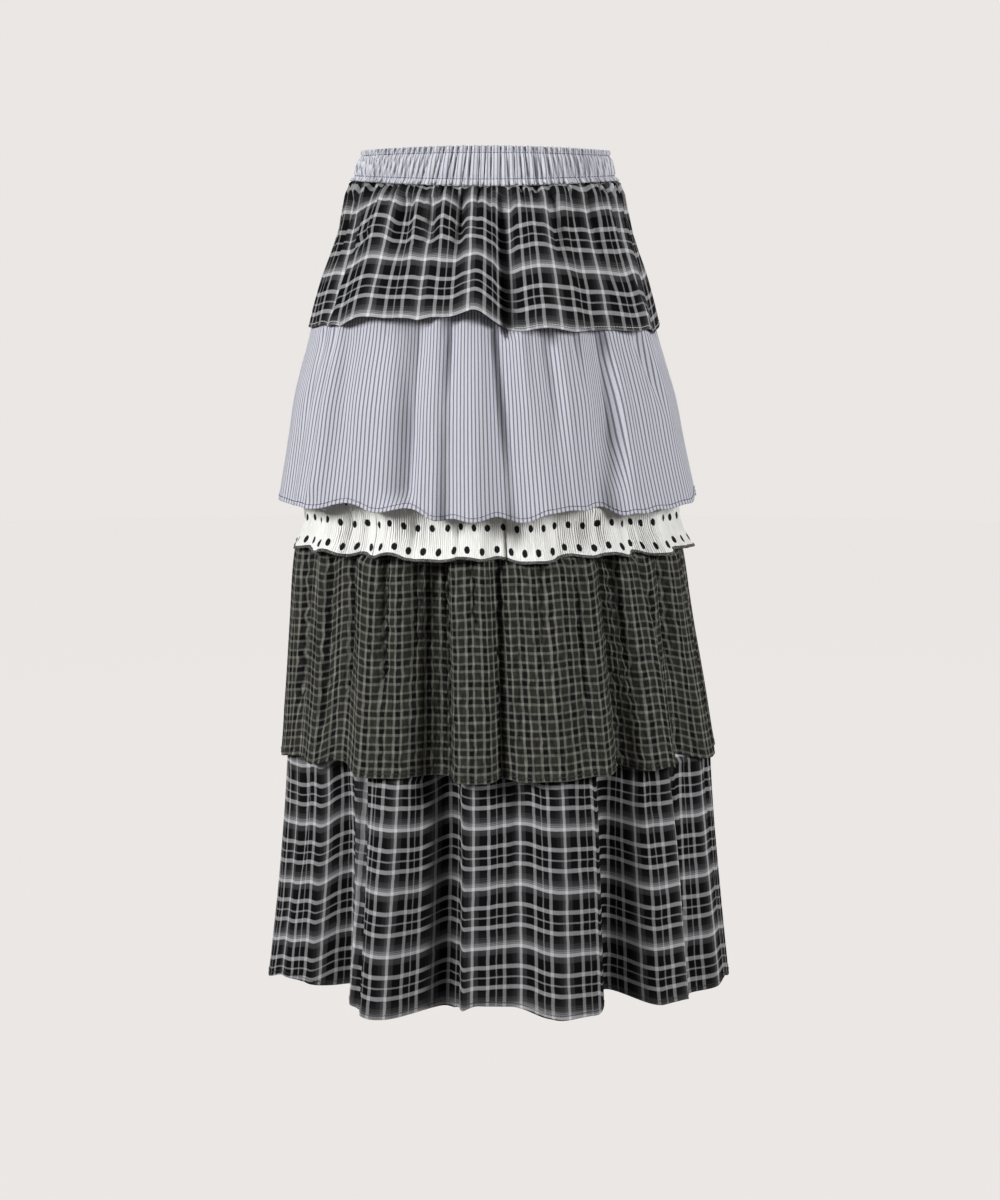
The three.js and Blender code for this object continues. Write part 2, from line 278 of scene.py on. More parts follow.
def layGrid(name, points, across, along):
    # a plain grid is added and each of its points is laid where the cloth hangs; rows go from the hem up
    selectNone()
    rows, columns = points.shape[:2]
    bpy.ops.mesh.primitive_grid_add(x_subdivisions=columns - 1, y_subdivisions=rows - 1, size=2)
    cloth = bpy.context.object
    cloth.name = name
    mesh = cloth.data
    mesh.name = name
    places = np.empty(len(mesh.vertices) * 3)
    mesh.vertices.foreach_get("co", places)
    places = places.reshape(-1, 3)
    column = np.rint((places[:, 0] + 1) / 2 * (columns - 1)).astype(int)
    row = np.rint((places[:, 1] + 1) / 2 * (rows - 1)).astype(int)
    mesh.vertices.foreach_set("co", (points[row, column] * mm).ravel())
    corner = np.empty(len(mesh.loops), dtype=np.int32)
    mesh.loops.foreach_get("vertex_index", corner)
    flat = np.stack([across[row, column], along[row, column]], axis=1)
    mesh.uv_layers[0].data.foreach_set("uv", flat[corner].ravel())
    mesh.uv_layers[0].name = "cut cloth"
    mesh.update()
    bpy.ops.object.shade_smooth()
    return cloth


def giveThickness(cloth, thick):
    selectNone()
    cloth.select_set(True)
    bpy.context.view_layer.objects.active = cloth
    wall = cloth.modifiers.new("thickness", "SOLIDIFY")
    wall.thickness = thick * mm
    wall.offset = -1
    wall.use_even_offset = False
    wall.use_quality_normals = True
    bpy.ops.object.modifier_apply(modifier=wall.name)


def finishPiece(piece, material, slotName, *nodes):
    piece.data.materials.clear()
    piece.data.materials.append(material)
    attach(piece, "root")
    if nodes:
        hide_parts(*nodes)
    return piece


def columnsOf(isFront):
    # the columns of one panel, from side seam to side seam
    count = len(angles) // 2
    return np.arange(0, count + 1) if isFront else np.arange(count, 2 * count + 1)


def panelOf(name, shape, isFront, thick):
    pick = columnsOf(isFront)
    points = shape["points"][::-1][:, pick % len(angles)]
    points[:, [0, -1], 1] = -0.15 if isFront else 0.15  # the two panels just meet
    along = shape["along"][::-1][:, pick % len(angles)]
    across = np.broadcast_to(shape["across"][pick], along.shape)
    cloth = layGrid(name, points, across, along)
    giveThickness(cloth, thick)
    return cloth


def closeRing(closeEnds):
    # joins the edges where the chosen piece meets itself, and can fill its two open ends
    bpy.ops.object.mode_set(mode="EDIT")
    bpy.ops.mesh.select_all(action="SELECT")
    bpy.ops.mesh.remove_doubles(threshold=0.00001)
    if closeEnds:
        bpy.ops.mesh.select_all(action="DESELECT")
        bpy.ops.mesh.select_non_manifold(extend=False)
        bpy.ops.mesh.fill_holes(sides=0)
        bpy.ops.mesh.select_all(action="SELECT")
        bpy.ops.mesh.normals_make_consistent(inside=False)
    bpy.ops.object.mode_set(mode="OBJECT")


# Lines on the cloth.

def unit(vectors):
    return vectors / np.linalg.norm(vectors, axis=1)[:, None]


def runOf(line):
    return np.concatenate([[0], np.cumsum(np.linalg.norm(np.diff(line, axis=0), axis=1))])


def sampled(values, run, where):
    # the values of a line at these lengths along it
    return np.stack([np.interp(where, run, values[:, k]) for k in range(3)], axis=1)


def lineOn(shape, aboveHem, isFront):
    # the line on a panel at this height above the hem, in mm
    pick = columnsOf(isFront) % len(angles)
    heights = shape["hem"] + aboveHem
    out = np.array([np.interp(-heights[c], -shape["z"][:, c], shape["out"][:, c]) for c in pick])
    return pointAt(angles[pick], heights[pick], out)


def facingOf(line):
    ahead = np.gradient(line, axis=0)
    ahead[:, 2] = 0
    return unit(np.cross(ahead, [0, 0, 1]))


# Stitches: one is modelled, and its copies are laid along a line on the cloth.

hemStitch = {"long": 2.6, "gap": 0.4, "thick": 0.8}  # mm
bandStitch = {"long": 2.6, "gap": 0.35, "thick": 0.85}


def oneStitch():
    selectNone()
    bpy.ops.mesh.primitive_uv_sphere_add(segments=5, ring_count=4, radius=1)
    stitch = bpy.context.object
    places = np.empty(len(stitch.data.vertices) * 3)
    stitch.data.vertices.foreach_get("co", places)
    faces = [tuple(face.vertices) for face in stitch.data.polygons]
    bpy.data.objects.remove(stitch)
    return places.reshape(-1, 3), faces


stitchPoints, stitchFaces = oneStitch()


def stitchRow(name, line, size, material, slotName):
    # line is the path on the cloth, in mm
    long = size["long"]
    thick = size["thick"]
    run = runOf(line)
    count = int(run[-1] / (long + size["gap"]))
    middle = (np.arange(count) + 0.5) * run[-1] / count
    facing = unit(sampled(facingOf(line), run, middle))
    ahead = unit(sampled(line, run, middle + long * 0.4) - sampled(line, run, middle - long * 0.4))
    side = np.cross(facing, ahead)
    centre = sampled(line, run, middle) + facing * thick * 0.35
    placed = (centre[:, None] + stitchPoints[None, :, 2:3] * (long / 2) * ahead[:, None]
              + stitchPoints[None, :, 0:1] * (thick / 2) * facing[:, None]
              + stitchPoints[None, :, 1:2] * (thick / 2) * side[:, None])
    faces = [tuple(v + k * len(stitchPoints) for v in face) for k in range(count) for face in stitchFaces]
    mesh = bpy.data.meshes.new(name)
    mesh.from_pydata((placed.reshape(-1, 3) * mm).tolist(), [], faces)
    mesh.polygons.foreach_set("use_smooth", [True] * len(mesh.polygons))
    row = bpy.data.objects.new(name, mesh)
    bpy.context.collection.objects.link(row)
    return finishPiece(row, material, slotName)


# Materials. Cloth patterns read the piece's own UV map, whose unit is one millimetre of the cut cloth.

def linear(hexColour):
    parts = [int(hexColour[i:i + 2], 16) / 255 for i in (1, 3, 5)]
    return [p / 12.92 if p <= 0.04045 else ((p + 0.055) / 1.055) ** 2.4 for p in parts] + [1]


def addNode(tree, kind, *inputs, named=None, stops=(), out=0, **settings):
    # adds a node with its settings, fills or links its inputs in order or by name or number,
    # lays out a colour ramp's stops, and gives one output
    node = tree.nodes.new("ShaderNode" + kind)
    for key, value in settings.items():
        setattr(node, key, value)
    for key, value in [*enumerate(inputs), *(named or {}).items()]:
        if isinstance(value, bpy.types.NodeSocket):
            tree.links.new(value, node.inputs[key])
        else:
            node.inputs[key].default_value = value
    if stops:
        elements = node.color_ramp.elements
        while len(elements) < len(stops):
            elements.new(0.5)
        for element, (place, colour) in zip(elements, stops):
            element.position = place
            element.color = colour
    return node.outputs[out] if len(node.outputs) else node


def emptied(tree):
    # the tree without its nodes, as the function that adds new ones to it
    tree.nodes.clear()
    return functools.partial(addNode, tree)


def newMaterial(name):
    material = bpy.data.materials.new(name)
    material.use_nodes = True
    return material, emptied(material.node_tree)


def newCloth(name):
    # a material, its adding function, the place on the cut cloth, and the millimetres across and along it
    material, add = newMaterial(name)
    place = add("UVMap", uv_map="cut cloth")
    across = add("SeparateXYZ", place)
    return material, add, place, across, across.node.outputs[1]


def wander(add, base, place, across, along, by, shift=0.0):
    # base and a slow wavy drift of up to by, with this many swings to a millimetre across and along
    moved = add("Mapping", place, (shift, shift * 0.7, 0), named={"Scale": (across, along, 1)})
    noise = add("TexNoise", moved, named={"Scale": 1.0, "Detail": 2.0, "Roughness": 0.55},
                noise_dimensions="2D")
    centred = add("Math", noise, 0.5, operation="SUBTRACT")
    return add("Math", centred, by * 2, base, operation="MULTIPLY_ADD")


def repeatShare(add, place, pitch, shift=0.0):
    # how far along a repeat a place is, from 0 to 1
    return add("Math", add("Math", place, 1 / pitch, shift, operation="MULTIPLY_ADD"), operation="FRACT")


def ripple(add, place, pitch):
    return add("Math", add("Math", place, 2 * math.pi / pitch, operation="MULTIPLY"), operation="SINE")


def weave(add, u, v, threadWide):
    # over and under threads of a plain weave, from 0 to 1
    both = add("Math", ripple(add, u, threadWide * 2), ripple(add, v, threadWide * 2), operation="MULTIPLY")
    return add("Math", both, 0.5, 0.5, operation="MULTIPLY_ADD")


def woven(add, threads, weftShare, warp, weft):
    # warp and weft take turns on top; weftShare is how much of the weft shows in all
    centred = add("Math", threads, 0.5, operation="SUBTRACT")
    over = add("Math", centred, 0.35, weftShare, operation="MULTIPLY_ADD")
    return add("Mix", over, named={6: warp, 7: weft}, out=2, data_type="RGBA")


def finishCloth(add, colour, height, relief, roughness, gloss, shade=None, sheen=0.0, sheenTint="#ffffff"):
    # relief is how high the bumps are in mm, and shade darkens or lightens the colour, as painted shade and
    # light of folds, pleats, puckers and threads, with an uneven tone in the ticking
    if shade is not None:
        colour = add("Mix", 1.0, named={6: colour, 7: shade}, out=2, data_type="RGBA",
                     blend_type="MULTIPLY")
    bump = add("Bump", named={"Height": height, "Strength": 1.0, "Distance": relief * mm})
    shader = add("BsdfPrincipled", named={
        "Base Color": colour, "Roughness": roughness, "Normal": bump, "IOR": 1.46,
        "Specular IOR Level": gloss, "Sheen Weight": sheen, "Sheen Roughness": 0.45,
        "Sheen Tint": linear(sheenTint)})
    add("OutputMaterial", shader)


plaidCloth = {
    "repeatAcross": 48.6,  # mm
    "repeatAlong": 61.7,
    "light": "#cbcbce",
    # the same light threads, painted a little darker for the hem tier as painted shade
    "hemLightShaded": "#c8c7ca",
    "dark": "#0d0d0e",
    "thread": 0.55,  # real threads are 0.3 mm; drawn coarser to show
    "weftShare": 0.52,
    "warpStrength": 0.88,  # the weft covers more
    "warpLeadUp": 0.4,
    # painted shade of the turned hem: the colour darkens to 0.3 of itself at the folded edge
    "hemFoldShade": (0.3, 1.4, 0.3, 1.0),  # from 0.3 to 1.4 mm up, the shade of the fold goes from 0.3 to 1
}


def plaidStops(strength, leadUp):
    # share of light threads over one repeat: bright line, charcoal, black, wide line, thin line, wide line,
    # black, and the fine lines that lead up to the next bright one
    shares = [(0.0, 1.0), (0.028, 1.0), (0.037, 0.11), (0.124, 0.08), (0.133, 0.0), (0.292, 0.0),
              (0.300, 0.65), (0.358, 0.65), (0.366, 0.0), (0.484, 0.0), (0.490, 0.46), (0.511, 0.46),
              (0.517, 0.0), (0.626, 0.0), (0.634, 0.65), (0.692, 0.65), (0.702, 0.0), (0.820, 0.02),
              (0.838, 0.10), (0.855, 0.04), (0.872, 0.14), (0.888, 0.06), (0.903, 0.20), (0.913, 0.10),
              (0.921, 0.40), (0.934, 0.44), (0.941, 0.12), (0.948, 0.54), (0.963, 0.60), (0.970, 0.16),
              (0.980, 1.0)]
    return [(place, [share * strength * (leadUp if 0.8 < place < 0.975 else 1)] * 3 + [1])
            for place, share in shares]


# plain-woven cotton, yarn-dyed: light threads over black ones give half tones, and it has a soft dry face
def makePlaid(name, light, shiftAcross, shiftAlong):
    material, add, place, u, v = newCloth(name)
    wavyU = wander(add, u, place, across=0.02, along=0.05, by=0.7)
    wavyV = wander(add, v, place, across=0.05, along=0.02, by=0.7, shift=40)
    warp = add("ValToRGB", repeatShare(add, wavyU, plaidCloth["repeatAcross"], shiftAcross),
               stops=plaidStops(plaidCloth["warpStrength"], plaidCloth["warpLeadUp"]))
    weft = add("ValToRGB", repeatShare(add, wavyV, -plaidCloth["repeatAlong"], shiftAlong),
               stops=plaidStops(1.0, 1.0))
    threads = weave(add, u, v, plaidCloth["thread"])
    share = woven(add, threads, plaidCloth["weftShare"], warp, weft)
    uneven = wander(add, 1.0, place, across=0.9, along=0.12, by=0.10, shift=11)
    lightShare = add("Math", share, uneven, operation="MULTIPLY")
    colour = add("Mix", lightShare, named={6: linear(plaidCloth["dark"]), 7: linear(light)}, out=2,
                 data_type="RGBA", clamp_factor=True)
    height = wander(add, threads, place, across=0.35, along=0.35, by=0.5, shift=5)
    # the colour is darkened along the hem's edge, as painted shade of its fold
    finishCloth(add, colour, height, relief=0.10, roughness=0.9, gloss=0.04,
                shade=add("MapRange", v, *plaidCloth["hemFoldShade"]))
    return material


tickingCloth = {
    "pitch": 4.0,  # mm from stripe to stripe
    "stripe": "#6d7080",
    # the band's copy of the ticking is painted lighter, ground and stripes, as painted light; its stripes
    # are lighter also where they run together
    "bandStripe": "#818391",  # drawn in by the elastic, the stripes of the band run together
    "ground": "#babac1",
    "bandGround": "#c3c3c9",
    "thread": 0.6,
}


# cotton ticking: narrow blue-grey stripes on a pale ground, close and smooth, with a dry face
def makeTicking(name, groundHex, stripeHex):
    material, add, place, u, v = newCloth(name)
    wavyU = wander(add, u, place, across=0.03, along=0.012, by=0.5)
    ground = linear(groundHex)
    stripe = linear(stripeHex)
    soft = [0.5 * (a + b) for a, b in zip(ground, stripe)]
    colour = add("ValToRGB", repeatShare(add, wavyU, tickingCloth["pitch"]), stops=[
        (0.0, ground), (0.26, ground), (0.33, soft), (0.37, stripe), (0.63, stripe), (0.67, soft),
        (0.74, ground)])
    threads = weave(add, u, v, tickingCloth["thread"])
    # painted shade in the hollows of the weave, darker where the threads dip; the drift below adds an
    # uneven tone at random
    threadShade = add("Math", threads, 0.10, 0.93, operation="MULTIPLY_ADD")
    shade = wander(add, threadShade, place, across=0.5, along=1.1, by=0.16, shift=21)
    height = wander(add, threads, place, across=0.3, along=0.3, by=0.5, shift=3)
    finishCloth(add, colour, height, relief=0.09, roughness=0.85, gloss=0.15, shade=shade, sheen=0.04,
                sheenTint="#e6e8f2")
    return material


dottedCloth = {
    "ground": "#f4f4f0",
    "dot": "#17171a",
    "apart": 14.6,  # mm between dots in a row
    "rows": 23.0,  # mm between rows
    "firstRow": 9.0,  # mm above the hem
    "dotWide": 5.5,
    "dotHigh": 7.6,
    "dotEdge": (0.92, 1.06, 1.0, 0.0),  # a dot fades from 1 to 0 between these shares of its radius
    "pleat": 2.1,  # mm from one crinkle to the next
}


def radiiSquare(add, share, pitch, wide):
    # how many dot radii a place is from the middle of its repeat, squared
    centred = add("Math", share, 0.5, operation="SUBTRACT")
    radii = add("Math", centred, 2 * pitch / wide, operation="MULTIPLY")
    return add("Math", radii, radii, operation="MULTIPLY")


# crinkled cotton gauze with printed dots: matt and white, with fine upright pleats whose light and shade
# are painted into the colour as well as made by bumps
def makeDotted(name):
    material, add, place, u, v = newCloth(name)
    pleatU = wander(add, u, place, across=0.12, along=0.03, by=1.3)
    pleat = add("Math", ripple(add, pleatU, dottedCloth["pleat"]), 0.5, 0.5, operation="MULTIPLY_ADD")
    rowPlace = add("Math", v, 1 / dottedCloth["rows"], 0.5 - dottedCloth["firstRow"] / dottedCloth["rows"],
                   operation="MULTIPLY_ADD")
    rowNumber = add("Math", add("Math", rowPlace, operation="FLOOR"), operation="ABSOLUTE")
    odd = add("Math", rowNumber, 2.0, operation="MODULO")
    oddShift = add("Math", odd, 0.5, operation="MULTIPLY")
    wavyU = wander(add, u, place, across=0.022, along=0.01, by=5.0, shift=90)
    dotShare = repeatShare(add, wavyU, dottedCloth["apart"], oddShift)
    rowShare = add("Math", rowPlace, operation="FRACT")
    acrossDot = radiiSquare(add, dotShare, dottedCloth["apart"], dottedCloth["dotWide"])
    alongDot = radiiSquare(add, rowShare, dottedCloth["rows"], dottedCloth["dotHigh"])
    reach = add("Math", add("Math", acrossDot, alongDot, operation="ADD"), operation="SQRT")
    ragged = wander(add, reach, place, across=0.9, along=0.5, by=0.16, shift=17)
    inDot = add("MapRange", ragged, *dottedCloth["dotEdge"])
    colour = add("Mix", inDot, named={6: linear(dottedCloth["ground"]), 7: linear(dottedCloth["dot"])},
                 out=2, data_type="RGBA")
    # painted shade and light of the pleats: the colour is darker in their hollows and lighter on their
    # crests
    shade = add("Math", pleat, 0.14, 0.80, operation="MULTIPLY_ADD")
    height = wander(add, pleat, place, across=0.25, along=0.08, by=0.9, shift=7)
    finishCloth(add, colour, height, relief=0.8, roughness=0.92, gloss=0.15, shade=shade, sheen=0.03)
    return material


checkCloth = {
    "repeatAcross": 16.5,  # mm
    "repeatAlong": 16.8,
    "firstWeft": 0.38,  # share of a repeat at the hem
    "black": "#121214",
    "line": "#71716a",
    "olive": "#2b2b27",
    "thread": 0.6,
    "weftShare": 0.41,
}


# cotton seersucker, yarn-dyed check: some threads are woven slack, so the cloth puckers all over, and the
# puckers' light and shade are painted into the colour as well as bumped
def makeCheck(name):
    material, add, place, u, v = newCloth(name)
    slowU = wander(add, u, place, across=0.05, along=0.02, by=0.8)
    wavyU = wander(add, slowU, place, across=0.10, along=0.075, by=1.1, shift=31)
    wavyV = wander(add, v, place, across=0.13, along=0.04, by=0.4, shift=60)
    black = linear(checkCloth["black"])
    line = linear(checkCloth["line"])
    olive = linear(checkCloth["olive"])
    stops = [(0.0, line), (0.035, black), (0.29, black), (0.35, line), (0.42, line), (0.48, olive),
             (0.83, olive), (0.89, line), (1.0, line)]
    acrossShare = repeatShare(add, wavyU, checkCloth["repeatAcross"])
    alongShare = repeatShare(add, wavyV, checkCloth["repeatAlong"], checkCloth["firstWeft"])
    threads = weave(add, u, v, checkCloth["thread"])
    colour = woven(add, threads, checkCloth["weftShare"], add("ValToRGB", acrossShare, stops=stops),
                   add("ValToRGB", alongShare, stops=stops))
    moved = add("Mapping", place, named={"Scale": (0.24, 0.09, 1)})
    pucker = add("TexNoise", moved, named={"Scale": 1.0, "Detail": 3.0, "Roughness": 0.5},
                 noise_dimensions="2D")
    # painted shade and light of the puckers: the noise that raises them also darkens and lightens the
    # colour
    centred = add("Math", pucker, 0.5, operation="SUBTRACT")
    shade = add("Math", centred, 1.5, 1.0, operation="MULTIPLY_ADD")
    threadHeight = add("Math", threads, 0.4, operation="MULTIPLY")
    height = add("Math", pucker, 6.0, threadHeight, operation="MULTIPLY_ADD")
    finishCloth(add, colour, height, relief=0.45, roughness=0.92, gloss=0.04, shade=shade)
    return material


# spun polyester sewing thread: dull, with a short twist
def makeThread(name, colourHex):
    material, add = newMaterial(name)
    place = add("TexCoord", out="Object")
    twist = add("TexNoise", place, named={"Scale": 1400.0, "Detail": 1.0})
    # painted shade of the twist: the colour follows the same noise as the bumps
    shade = add("Math", twist, 0.5, 0.75, operation="MULTIPLY_ADD")
    finishCloth(add, linear(colourHex), twist, relief=0.08, roughness=0.7, gloss=0.2, shade=shade,
                sheen=0.05)
    return material


# overlock edge: textured dark thread looped closely over it, with pale flecks of the cloth between, and
# painted light that makes the crests of the loops paler
def makeOverlock(name, loopPitch):
    material, add, place, u, v = newCloth(name)
    slant = add("Math", v, 0.5, u, operation="MULTIPLY_ADD")
    loops = add("Math", ripple(add, slant, loopPitch), 0.5, 0.5, operation="MULTIPLY_ADD")
    pale = wander(add, 0.25, place, across=1.1, along=1.6, by=0.5, shift=9)
    # painted light: the colour is paler on the crests of the loops, and the pale flecks fall at random
    mixPlace = add("Math", loops, 0.35, pale, operation="MULTIPLY_ADD")
    colour = add("ValToRGB", mixPlace, stops=[
        (0.0, linear("#141416")), (0.40, linear("#262628")), (0.55, linear("#5c5c5c")),
        (0.75, linear("#b8b8b4"))])
    finishCloth(add, colour, loops, relief=0.35, roughness=0.8, gloss=0.15, sheen=0.05, sheenTint="#bdbdbd")
    return material


print("materials")
plaid = makePlaid("plaid_yarn_dyed_cotton", plaidCloth["light"], shiftAcross=0.30, shiftAlong=0.05)
# the hem tier's copy of the plaid, its light threads painted darker as painted shade
hemPlaid = makePlaid("plaid_yarn_dyed_cotton_hem_tier_shaded", plaidCloth["hemLightShaded"], shiftAcross=0.55,
                     shiftAlong=0.06)
ticking = makeTicking("ticking_stripe_cotton", tickingCloth["ground"], tickingCloth["stripe"])
# the band's lighter copy of the ticking: painted light
bandTicking = makeTicking("ticking_stripe_cotton_gathered", tickingCloth["bandGround"],
                          tickingCloth["bandStripe"])
dotted = makeDotted("dotted_crinkle_cotton")
check = makeCheck("check_seersucker_cotton")
greyThread = makeThread("sewing_thread_purple_grey", "#46425a")
paleThread = makeThread("sewing_thread_pale_grey", "#c4c4c6")
darkThread = makeThread("sewing_thread_charcoal", "#3a3a38")
overlock = makeOverlock("overlock_thread_black", loopPitch=1.3)


# The tiers, from the top one down.

tierDefaults = {
    # a fold is (angle, half width, out, up at the hem), and a crease is (angle, z) to (angle, z),
    # out, half width left and right, fade in, fade out
    "growth": 1.0,  # how fast the folds grow down the cloth, as a power
    "pull": 0,  # mm that the weft is drawn up at the seam
    "gatherRide": 0.2,  # how far the gathers shift the pattern, as a share of their height
    "seamRide": 0,  # and next to the seam
    "grain": [(0, 0)],  # (angle, mm) that the weft runs higher or lower round the skirt
}

plaidFlounce = {
    **tierDefaults,
    "name": "plaid_flounce", "seam": -21, "hem": -161, "rows": 44, "turnUp": 4.0,
    "clear": 1.2, "seed": 11, "ride": 1.25, "waveOut": 0.95, "drift": 1.3, "thick": 0.7,
    "proud": 5.0, "slit": 1.6, "wiggle": 0.1, "depthSeen": 0.45,
    "pull": 4.0, "gatherRide": 0.6, "seamRide": 1.3,
    "stand": [(-21, -3.0), (-31, 1.2), (-75, 4), (-116, 7.4), (-161, 9)],
    "folds": [
        (-68, 12, -5, 4), (-57, 7, 0, 5), (-44, 14, 5, 9), (-28, 24, 0, 13), (-26, 10, -6, 0),
        (-14, 9, 0, 9), (-3, 12, 12, 22), (7, 6, -14, 3), (20, 12, 5, 5), (40, 14, -6, 1), (58, 10, 3, -1),
        (78, 12, -5, -6), (104, 13, 6, 2), (126, 12, -8, 6), (147, 12, 8, 0), (168, 11, -9, 8),
        (-170, 12, 9, 3), (-148, 12, -8, 8), (-124, 13, 7, 0), (-102, 12, -6, 4)],
    # how far the weft lines swing up and down, near the seam and near the hem
    "waves": [
        (-88, -2), (-70, -1), (-62, -1.5), (-54, 2), (-47, 4.5), (-41, 4), (-35, -2.5), (-31, -2),
        (-27, 4), (-24, 2.5), (-20.5, -2), (-15.5, 3.5), (-13, 2.5), (-9, -3.5), (-6, 3.5), (-1, 1.5),
        (3.5, -1), (6.5, -5), (9, -4), (13, 0.5), (18, 2.5), (22, 1.5), (29, -3.5), (34, -1), (40, 0.5),
        (47, -1), (54, 1), (66, -1), (78, 1.5), (90, -1), (99, 3), (108, -3), (117, 4), (127, -3),
        (137, 3), (146, -4), (156, 4), (165, -3), (174, 3), (183, -3), (192, 4), (202, -3), (212, 3.5),
        (221, -4), (231, 4), (240, -3), (250, 3), (259, -2)],
    "lowWaves": [
        (-88, -1), (-62, -2.5), (-56, 0), (-48, 2), (-30, 0.5), (-24, 1.5), (-20, 2.5), (-15, -2),
        (-10.5, -2.5), (-6, 2), (-2, 3.5), (2.5, 1), (6, -5), (9, -4.5), (14, 0.5), (20, 0.5), (30, 1),
        (36, -1), (46, 0.5), (56, -1.5), (68, 1), (80, -1), (99, 2), (110, -3), (120, 3), (133, -2),
        (146, 3), (158, -3), (170, 3), (182, -3), (194, 3), (206, -3), (218, 3), (230, -3), (242, 2),
        (256, -2)],
    "grain": [
        (-88, -11), (-70, -10), (-63, -8.5), (-49, -1), (-42, 0), (5, 0), (9, -2), (30, -2), (41, -6),
        (60, -8), (80, -11), (110, -8), (150, -3), (200, -3), (245, -8)],
    "creases": [
        (5.5, -25, 7.5, -152, -6, 3, 5, 0.1, 0), (-9, -25, -9.5, -95, -3.5, 3, 3, 0.1, 0.5),
        (-34, -28, -33, -110, -3.5, 3.5, 3.5, 0.1, 0.5), (29, -25, 31, -120, -4, 3, 4.5, 0.1, 0.5),
        (48, -30, 52, -140, -4, 4, 4, 0.1, 0.4), (-20.5, -30, -21, -80, -3, 3, 3, 0.1, 0.5),
        (-8, -62, -30, -78, -2.5, 4, 4, 0.3, 0.3), (-46, -62, -62, -90, -3.5, 5, 5, 0.3, 0.3),
        (63, -25, 70, -150, -4, 3, 4, 0.15, 0.3), (-58, -30, -63, -155, -4, 4, 4, 0.2, 0.2),
        (13, -22, 13.5, -60, -2.5, 2, 2, 0.1, 0.6), (39, -24, 41, -80, -3, 3, 3, 0.1, 0.5),
        (-2.5, -22, -3, -50, -2, 2, 2, 0.1, 0.6), (-71, -25, -74, -110, -3.5, 4, 4, 0.1, 0.5),
        (100, -25, 103, -120, -4, 4, 4, 0.1, 0.5), (124, -25, 127, -150, -5, 4, 5, 0.1, 0.2),
        (150, -25, 151, -100, -4, 4, 4, 0.1, 0.5), (168, -25, 170, -152, -5, 5, 4, 0.1, 0.2),
        (191, -25, 189, -110, -4, 4, 4, 0.1, 0.5), (214, -25, 212, -150, -5, 4, 5, 0.1, 0.2),
        (236, -25, 238, -100, -4, 4, 4, 0.1, 0.5), (257, -25, 255, -140, -4, 4, 4, 0.1, 0.3)],
    "gathers": [(140, 4.4, 12, 0.02), (86, 3.6, 24, 0.03), (46, 2.4, 50, 0.15), (24, 1.6, 90, 0.5)],
}

stripedTier = {
    **tierDefaults,
    "name": "striped_tier", "seam": -108, "hem": -334, "rows": 50, "turnUp": 5.0,
    "clear": 1.0, "seed": 23, "ride": 0.4, "waveOut": 0.9, "drift": 0.5, "thick": 0.7,
    "proud": 2.0, "slit": 0.7, "wiggle": 0.0, "depthSeen": 0.3, "gatherRide": 0.1,
    "stand": [(-108, 4.7), (-166, 4.5), (-205, 10.7), (-233, 15), (-276, 18.5), (-334, 24.5)],
    "folds": [
        (-72, 8, -7, -2), (-56, 9, 5, 0), (-42, 12, -4, 8), (-24, 10, -10, 3), (-11, 5, -9, 0),
        (-24, 7, 0, 2), (-13, 7, 0, -5), (9, 8, 0, -7), (24, 8, 0, 4), (38.5, 4, 0, -4), (60, 10, 0, -2),
        (84, 12, 0, 9), (-21, 6, 0, 1), (-4, 7, 9, -5), (6, 6, -12, 0), (17, 9, 6, 2), (33, 8, -16, 5),
        (45, 8, 6, -2), (64, 12, -4, 0), (106, 14, -10, 3), (128, 12, 10, -3), (150, 13, -16, 5),
        (172, 12, 9, -3), (-166, 12, -14, 4), (-143, 13, 10, -3), (-119, 12, -12, 4), (-98, 10, 4, 0)],
    "waves": [
        (-85, 1), (-75, -1), (-64, -2), (-53.5, 2), (-47, -1.5), (-40, 2), (-33, -1.5), (-25.5, 1.8),
        (-19, -1.6), (-15, 1.5), (-11.6, -1.2), (-6, 1.6), (2, -1.5), (11.9, 2), (20, -2), (28, 2.2),
        (36, -2.5), (43, 2.4), (52, 0.5), (60, -2), (70, 1.5), (80, -1), (95, 1.5), (105, -2), (116, 2),
        (126, -1.5), (138, 2), (150, -2), (161, 2), (172, -1.5), (184, 2), (196, -2), (208, 2),
        (220, -1.6), (232, 2), (244, -2), (256, 1.6), (266, -1)],
    "creases": [
        (2.2, -110, 5.5, -325, -9, 4, 5, 0, 0.5), (18.5, -110, 21, -290, -4.5, 2.5, 7, 0, 0.45),
        (-10.5, -110, -11, -260, -5, 4, 4, 0, 0.6), (31.5, -110, 31, -230, -7, 3, 4, 0, 0.6),
        (42, -110, 39, -320, -11, 7, 4, 0, 0.3), (43, -160, 37.5, -325, -3, 4, 4, 0.2, 0.2),
        (49, -120, 45, -325, 1.5, 4.5, 4.5, 0.2, 0.2), (57, -110, 69, -260, -4.5, 4, 4.5, 0, 0.4),
        (-53, -120, -54, -330, 3.5, 4, 4.5, 0.2, 0.1), (-19, -110, -18.5, -290, -2.5, 3, 3.5, 0, 0.5),
        (12, -115, 12, -260, 2.2, 4, 3, 0, 0.5), (-22, -110, -24, -334, -13, 11, 5, 0, 0.1),
        (-66, -110, -72, -300, -3, 4, 5, 0, 0.4), (110, -110, 106, -280, -5, 4, 6, 0, 0.4),
        (140, -110, 150, -320, -9, 5, 7, 0, 0.3), (172, -110, 176, -300, -9, 7, 4, 0, 0.3),
        (200, -110, 194, -320, -11, 5, 8, 0, 0.2), (232, -110, 238, -300, -9, 4, 8, 0, 0.3),
        (255, -110, 252, -250, -3, 4, 4, 0, 0.5)],
    "gathers": [(150, 1.2, 25, 0.02), (92, 1.8, 55, 0.04), (46, 2.0, 90, 0.15), (22, 1.8, 140, 0.5)],
}

